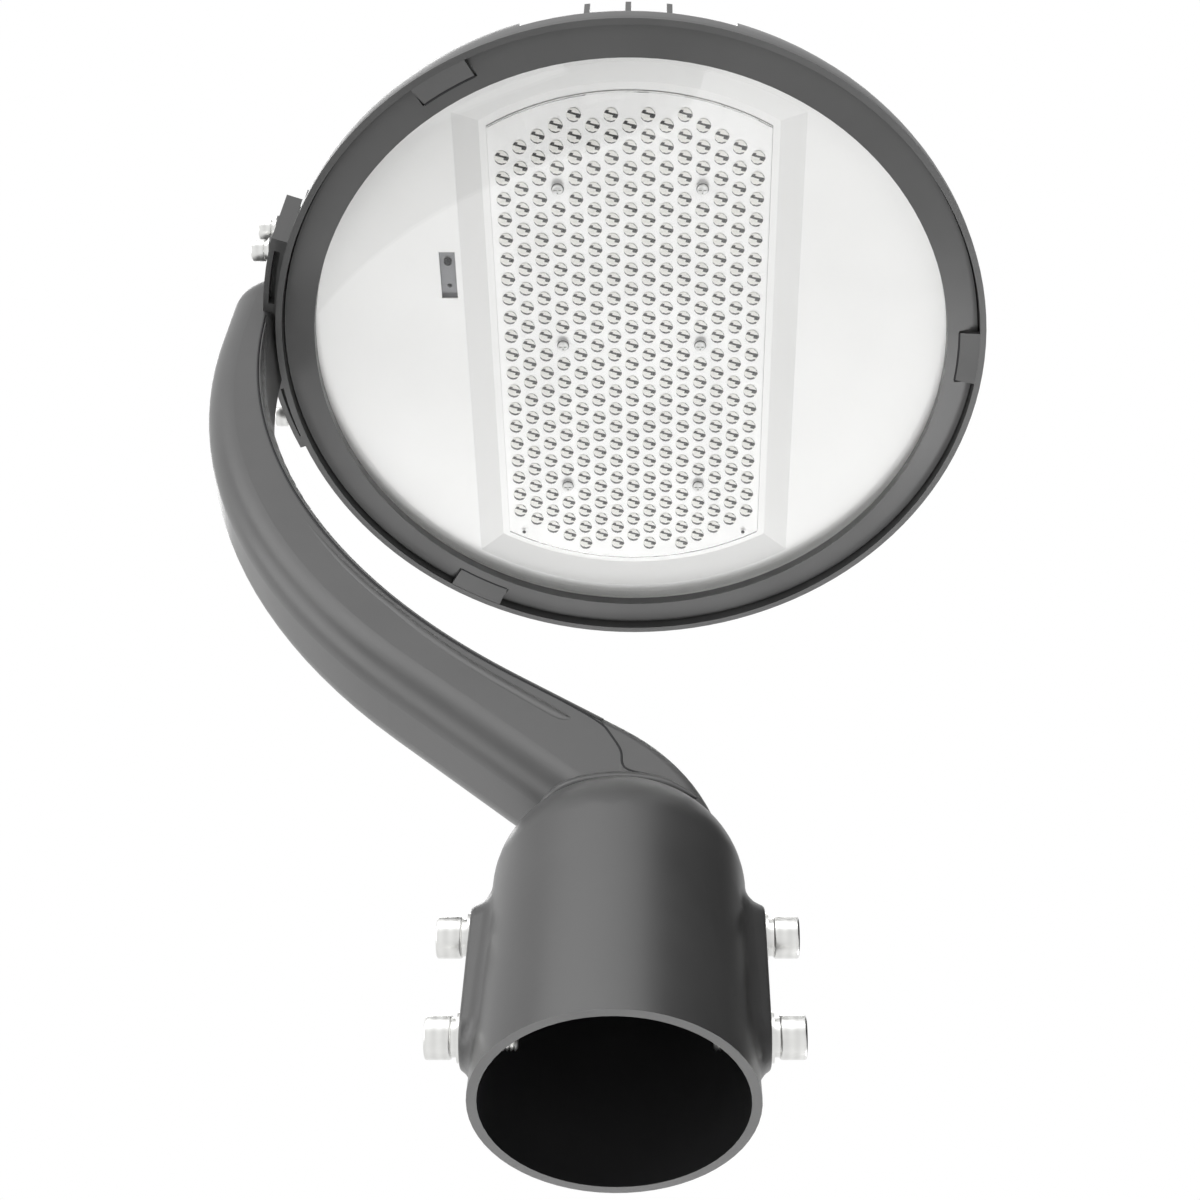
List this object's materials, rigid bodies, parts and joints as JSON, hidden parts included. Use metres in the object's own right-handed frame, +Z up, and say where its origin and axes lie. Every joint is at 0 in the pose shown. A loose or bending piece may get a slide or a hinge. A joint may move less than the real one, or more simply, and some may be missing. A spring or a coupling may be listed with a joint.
{
  "type": "led post top light",
  "caption": "Round LED area light head under a finned housing, carried by a cast swan-neck arm whose domed socket slips over a pole top and is gripped by side screws.",
  "frame": {"origin": "centre of the pole socket's mouth, in the plane of its rim", "axes": "+Z up the pole axis, -X towards the arm's bow, so that the arm rises on the -X side and the head hangs over the socket"},
  "size_m": [0.3499, 0.326, 0.4635],
  "materials": {
    "body_coat": "dark grey fine powder coat",
    "steel": "bright stainless",
    "rubber": "black silicone",
    "clear_glass": "clear toughened",
    "board_white": "white solder mask",
    "lens_plastic": "clear moulding",
    "white_sheet": "satin white",
    "bare_aluminium": "bare",
    "driver_case": "black",
    "terminal_plastic": "off white"
  },
  "bodies": {
    "root": {"arm_casting": "body_coat", "arm_cover": "body_coat", "arm_cover_screws": "steel", "bezel_ring": "body_coat", "cable_grommet": "rubber", "driver_screws": "steel", "flange_bolt_spring_washers": "steel", "flange_bolt_washers": "steel", "flange_bolts": "steel", "flange_gasket": "rubber", "glass_gasket": "rubber", "glass_lens": "clear_glass", "head_housing": "body_coat", "led_board": "board_white", "led_driver": "driver_case", "lens_plate": "lens_plastic", "lens_plate_screws": "steel", "pole_screw_spring_washers": "steel", "pole_screw_washers": "steel", "pole_screws": "steel", "reflector_plate": "white_sheet", "service_tab": "bare_aluminium", "service_tab_screw": "steel", "terminal_block": "terminal_plastic", "terminal_screws": "steel"}
  },
  "joints": []
}
